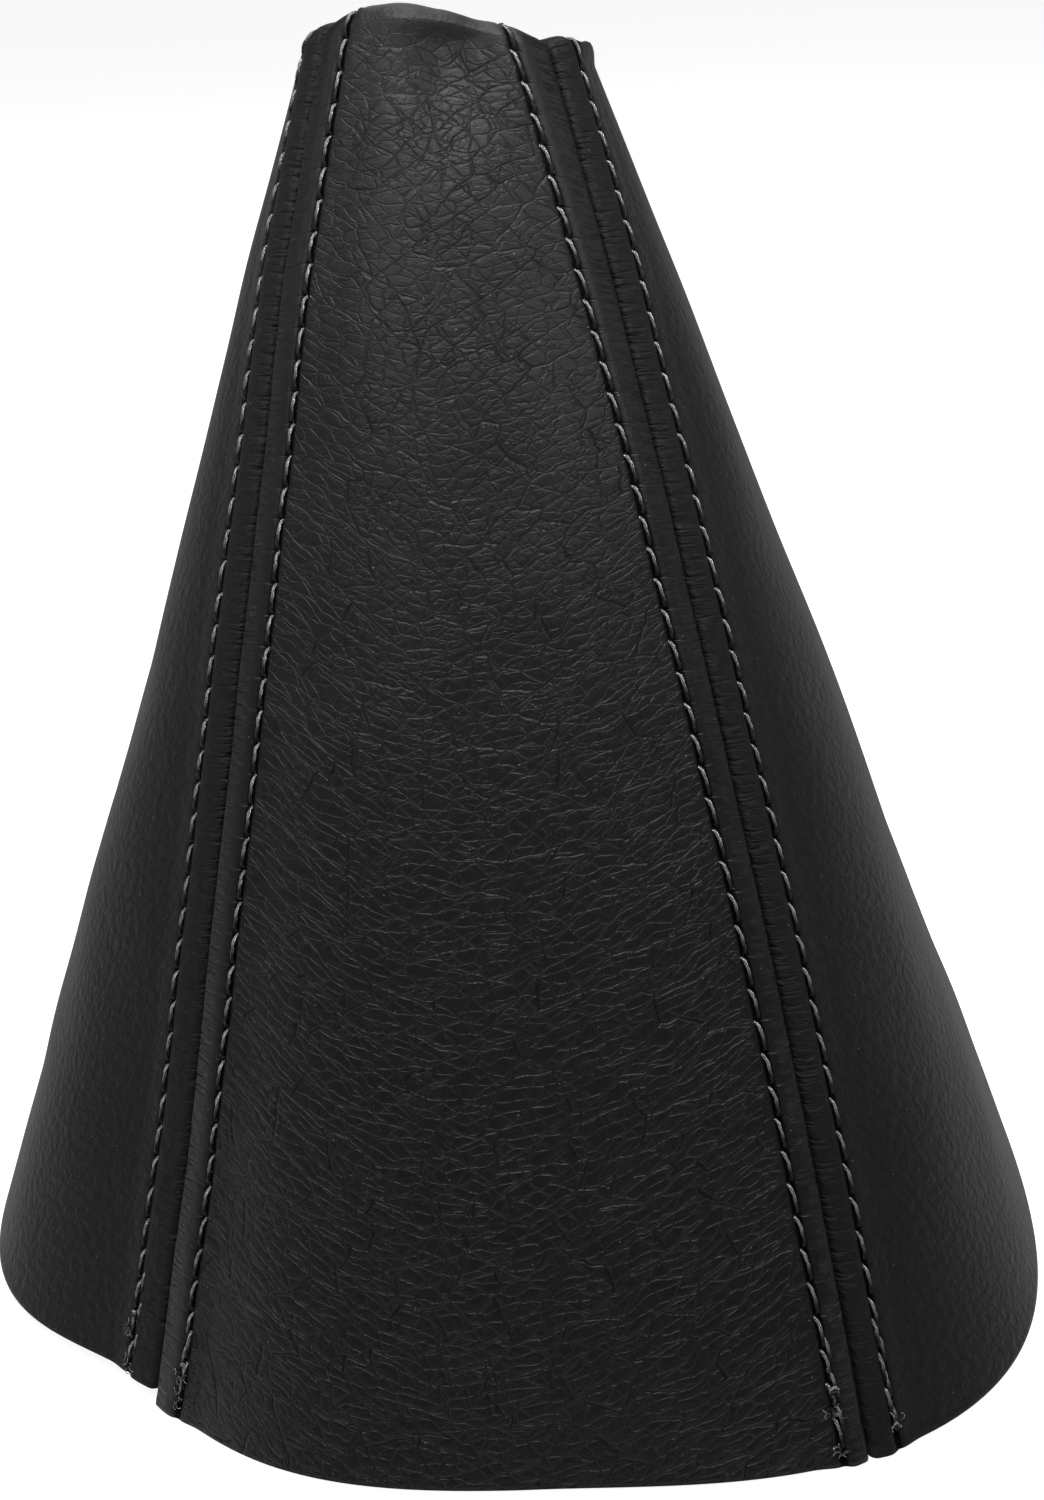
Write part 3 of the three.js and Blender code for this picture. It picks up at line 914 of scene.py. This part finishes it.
def leather(name, grain, mottle, warmth, roughness, gloss, creased=False):
    """Embossed leatherette, with large creases of strength grain and fine unevenness mottle, and
    painted shade in its creases and along its stitch rows.
    """
    nodes = Nodes(name)
    places = nodes.map("Cut")
    calm = nodes.math("MAXIMUM", nodes.share("beside_seam"), nodes.share("at_rim"))
    keep = nodes.math("MULTIPLY", nodes.math("MULTIPLY_ADD", calm, -0.9, 1.0), grain)
    depth = nodes.math("MULTIPLY", crease_depth(nodes, places), keep)
    fine = nodes.noise(places, 2.6, 3)
    blotches = nodes.noise(places, 0.7, 3)
    height = nodes.math("MULTIPLY", depth, -1.0)
    height = nodes.math("MULTIPLY_ADD", fine, 0.26, height)
    height = nodes.math("MULTIPLY_ADD", blotches, mottle, height)
    height = nodes.math("MULTIPLY_ADD", gathers(nodes, places), -2.2, height)
    height = nodes.math("MULTIPLY_ADD", pulls(nodes, places), -0.8, height)
    if creased:
        height = nodes.math("MULTIPLY_ADD", fold_mark(nodes, places), -2.0, height)
    nodes.bump(height, GRAIN_DEPTH)
    # Painted shade: the colour darkens in the crease valleys, most in the deepest creases.
    colour = nodes.blend(nodes.fit(depth, 0.35, 1.3), grey(0.0055, warmth), grey(0.0025, warmth))
    lighter = nodes.math("MULTIPLY", nodes.fit(blotches, 0.35, 0.7), 0.6)
    colour = nodes.blend(lighter, colour, grey(0.009, warmth))
    # Painted shade: a near-black line along each stitch row, where the needle groove lies in
    # shadow.
    painted_row_shade = nodes.fit(nodes.share("near_row"), 0.82, 0.97, 0.0, 0.85)
    colour = nodes.blend(painted_row_shade, colour, grey(0.0005))
    specks = nodes.fit(nodes.cells(places, 0.085, "F1"), 0.006, 0.011, 1.0, 0.0)
    # Painted shade in the gloss too: less reflection along the rows' shade lines and in the deepest
    # creases.
    gloss_outside_painted_shade = nodes.math("SUBTRACT", 1.0, painted_row_shade)
    gloss_outside_painted_shade = nodes.math("MULTIPLY", gloss_outside_painted_shade, nodes.fit(depth, 0.7, 1.1, 1.0, 0.5))
    nodes.set("Base Color", nodes.blend(specks, colour, grey(0.1)))
    nodes.set("Roughness", nodes.math("MULTIPLY_ADD", fine, 0.14, roughness))
    nodes.set("Specular IOR Level", nodes.math("MULTIPLY", gloss_outside_painted_shade, gloss))
    return nodes.material


def fold_mark(nodes, places):
    """A short old fold across the leather, low on the left of the front panel."""
    across, upward = nodes.parts(places)
    past_bend = nodes.math("MAXIMUM", nodes.math("ADD", across, 35.0), 0.0)
    course = nodes.math("MULTIPLY_ADD", nodes.math("MULTIPLY", past_bend, past_bend), -0.04, 19.0)
    off_course = nodes.math("ABSOLUTE", nodes.math("SUBTRACT", upward, course))
    off_middle = nodes.math("ABSOLUTE", nodes.math("ADD", across, 34.8))
    return nodes.math("MULTIPLY", nodes.fit(off_course, 0.0, 0.45, 1.0, 0.0),
                      nodes.fit(off_middle, 3.0, 5.5, 1.0, 0.0))


def gathers(nodes, places):
    """Fine gathers in clusters across the lips of the seams."""
    across, upward = nodes.parts(places)
    squeezed = nodes.join(nodes.math("MULTIPLY", across, 0.14), upward)
    stripes = nodes.noise(squeezed, 1.5, 1)
    clusters = nodes.fit(nodes.noise(places, 0.13, 1), 0.4, 0.6, 0.15, 1.0)
    stripes = nodes.math("MULTIPLY", nodes.fit(stripes, 0.5, 0.64), clusters)
    return nodes.math("MULTIPLY", stripes, nodes.share("on_lip"))


def pulls(nodes, places):
    """Short creases drawn across the leather from each needle hole."""
    jitter = nodes.math("MULTIPLY", nodes.noise(places, 0.5, 2), 0.16)
    shift = nodes.math("ADD", jitter, 0.42)
    phase = nodes.math("FRACT", nodes.math("ADD", nodes.share("stitches"), shift))
    off_hole = nodes.math("ABSOLUTE", nodes.math("SUBTRACT", phase, 0.5))
    crease = nodes.fit(off_hole, 0.0, 0.045, 1.0, 0.0)
    crease = nodes.math("MULTIPLY", crease, nodes.share("near_row"))
    patches = nodes.fit(nodes.noise(places, 0.4, 1), 0.4, 0.6, 0.2, 1.0)
    return nodes.math("MULTIPLY", crease, patches)


def backing_material():
    """Knitted backing cloth and the cut edge."""
    nodes = Nodes("knit_backing")
    places = nodes.map("Cut")
    across, upward = nodes.parts(places)
    wale = nodes.math("SINE", nodes.math("MULTIPLY", across, 2 * math.pi / 0.9))
    course = nodes.math("SINE", nodes.math("MULTIPLY", upward, 2 * math.pi / 0.6))
    loops = nodes.math("MULTIPLY", wale, course)
    fuzz = nodes.noise(places, 2.6, 4)
    height = nodes.math("MULTIPLY_ADD", loops, 0.4, fuzz)
    nodes.bump(height, KNIT_DEPTH)
    nodes.set("Base Color", nodes.blend(nodes.fit(height, 0.1, 1.0), grey(0.018), grey(0.055)))
    nodes.set("Roughness", 0.95)
    nodes.set("Sheen Weight", 0.25)
    return nodes.material


def thread_material():
    """Twisted polyester filament, with a painted highlight and painted shade: light grey and glossy
    at the upper end of each stitch, near black and dull at its lower end where it dives into the
    hole.
    """
    nodes = Nodes("twisted_thread")
    places = nodes.map("Thread")
    round_tube, along_tube = nodes.parts(places)
    slanted = nodes.math("MULTIPLY_ADD", along_tube, 1.6, nodes.math("MULTIPLY", round_tube, 2.4))
    strands = nodes.math("SINE", nodes.math("MULTIPLY", slanted, 2 * math.pi / 0.16))
    fuzz = nodes.noise(places, 7.0, 3)
    height = nodes.math("MULTIPLY_ADD", strands, 0.35, fuzz)
    nodes.bump(height, TWIST_DEPTH)
    # Painted highlight at each stitch's upper end and painted shade at its lower end, in both the
    # colour and the gloss.
    painted_glint_and_shade = nodes.fit(nodes.share("upper_end"), 0.3, 0.85, 0.05, 1.0)
    lit = nodes.math("MULTIPLY", nodes.fit(height, 0.1, 1.0), painted_glint_and_shade)
    nodes.set("Base Color", nodes.blend(lit, grey(0.002), grey(0.09)))
    nodes.set("Specular IOR Level", painted_glint_and_shade)
    nodes.set("IOR", 2.0)
    nodes.set("Roughness", 0.25)
    nodes.set("Sheen Weight", 0.08)
    return nodes.material


# Stage
def stage_material():
    """Pale ground that the camera sees as near white, with the object's shadow on it."""
    nodes = Nodes("pale_floor")
    tree = nodes.tree
    tree.nodes.remove(nodes.shader)
    output = next(n for n in tree.nodes if n.type == "OUTPUT_MATERIAL")
    diffuse = nodes.add("ShaderNodeBsdfDiffuse")
    diffuse.inputs["Color"].default_value = grey(FLOOR_TONE)
    glow = nodes.add("ShaderNodeEmission")
    glow.inputs["Color"].default_value = grey(1)
    path = nodes.add("ShaderNodeLightPath")
    direct = nodes.math("MAXIMUM", path.outputs["Is Camera Ray"], path.outputs["Is Glossy Ray"])
    direct = nodes.math("MAXIMUM", direct, path.outputs["Is Transmission Ray"])
    nodes.link(nodes.math("MULTIPLY", direct, FLOOR_SEEN), glow.inputs["Strength"])
    both = nodes.add("ShaderNodeAddShader")
    nodes.link(diffuse.outputs[0], both.inputs[0])
    nodes.link(glow.outputs[0], both.inputs[1])
    nodes.link(both.outputs[0], output.inputs["Surface"])
    return nodes.material


def build_floor():
    """A wide shallow bowl, level under the object and rising far out."""
    radii = np.concatenate([[0.001, 0.5], np.linspace(1.5, 4, 12)]) / MM
    heights = FLOOR_LEVEL + FLOOR_RISE * np.clip((radii * MM - 1.5) / 2.5, 0, 1) ** 2
    turn = np.radians(np.arange(0, 360, 5))[None]
    points = np.stack(np.broadcast_arrays(
        radii[:, None] * np.sin(turn), radii[:, None] * np.cos(turn), heights[:, None]
    ), -1)
    quads, _ = ring_faces(*points.shape[:2])
    floor = new_object("floor", points, quads)
    floor.data.materials.append(stage_material())


def build_world():
    """Plain dim light from all round."""
    world = bpy.data.worlds.new("studio")
    bpy.context.scene.world = world
    world.use_nodes = True
    background = next(n for n in world.node_tree.nodes if n.type == "BACKGROUND")
    background.inputs["Color"].default_value = grey(1)
    background.inputs["Strength"].default_value = WORLD_STRENGTH


def build_lamp(name, place, target, size, power, colour):
    """A square lamp that faces its target, which isn't straight below or above it."""
    data = bpy.data.lights.new(name, "AREA")
    data.shape = "RECTANGLE"
    data.size = data.size_y = size
    data.energy = power
    data.color = colour
    lamp = bpy.data.objects.new(name, data)
    bpy.context.scene.collection.objects.link(lamp)
    place = np.array(place)
    back = unit(place - np.array(target))
    side = unit(np.cross([0.0, 0.0, 1.0], back))
    turn = np.eye(4)
    turn[:3, 0], turn[:3, 1], turn[:3, 2], turn[:3, 3] = side, np.cross(back, side), back, place
    lamp.matrix_world = Matrix(turn.tolist())


def build_camera():
    """The camera of the photo, fitted to the sleeve's outline in it."""
    data = bpy.data.cameras.new("camera")
    data.sensor_fit = "AUTO"
    data.sensor_width = SENSOR_WIDTH
    data.lens = LENS
    data.clip_start, data.clip_end = 0.01, 50
    camera = bpy.data.objects.new("camera", data)
    bpy.context.scene.collection.objects.link(camera)
    axes = zip(CAMERA_RIGHT, CAMERA_UP, CAMERA_FORWARD, CAMERA_PLACE)
    rows = [[right, up, -forward, place] for right, up, forward, place in axes]
    camera.matrix_world = Matrix(rows + [[0, 0, 0, 1]])
    bpy.context.scene.camera = camera


def build_stage():
    build_floor()
    build_world()
    for lamp in LAMPS:
        build_lamp(*lamp)


def build_panels():
    """The four panels, each between two seams, with its gathers along them and its leather."""
    large = dict(grain=1.0, mottle=0.6, warmth=0.0, roughness=0.36, gloss=0.17)
    front = leather("front_leatherette", **large, creased=True)
    rear = leather("rear_leatherette", **large)
    fine = dict(grain=0.2, mottle=2.4, warmth=0.03, roughness=0.55, gloss=0.13)
    side = leather("side_leatherette", **fine)
    backing = backing_material()
    plans = {
        "front_panel": (Panel(FRONT_LEFT, FRONT_RIGHT, 0, 66, 16), (0.02, 0.03), front),
        "right_panel": (Panel(FRONT_RIGHT, REAR_RIGHT, 0, 84, 20), (0.13, 0.13), side),
        "rear_panel": (Panel(REAR_RIGHT.turned(), REAR_LEFT, 0, 66, 16), (0.03, 0.02), rear),
        "left_panel": (Panel(REAR_LEFT, FRONT_LEFT, LEFT_PANEL_STEP, 84, 20), (0.04, 0.04), side),
    }
    for name, (panel, puckers, skin) in plans.items():
        piece = build_panel(name, panel, puckers, skin, backing)
        width, length, area = flat_cut(panel)


def build_threads():
    """The rows of topstitching on both sides of each seam, and the joining stitches inside it."""
    thread = thread_material()
    seams = {"front_left": FRONT_LEFT, "front_right": FRONT_RIGHT,
             "rear_right": REAR_RIGHT, "rear_left": REAR_LEFT}
    for number, (name, seam) in enumerate(seams.items()):
        for hand, side in (("a", -1), ("b", 1)):
            build_row(f"{name}_{hand}", seam, side, thread, 10 * number + side + 2)
        build_joining(f"joining_stitch_{name}", seam, thread)


bpy.context.scene.view_settings.view_transform = "Standard"
build_camera()
build_stage()
build_panels()
build_threads()
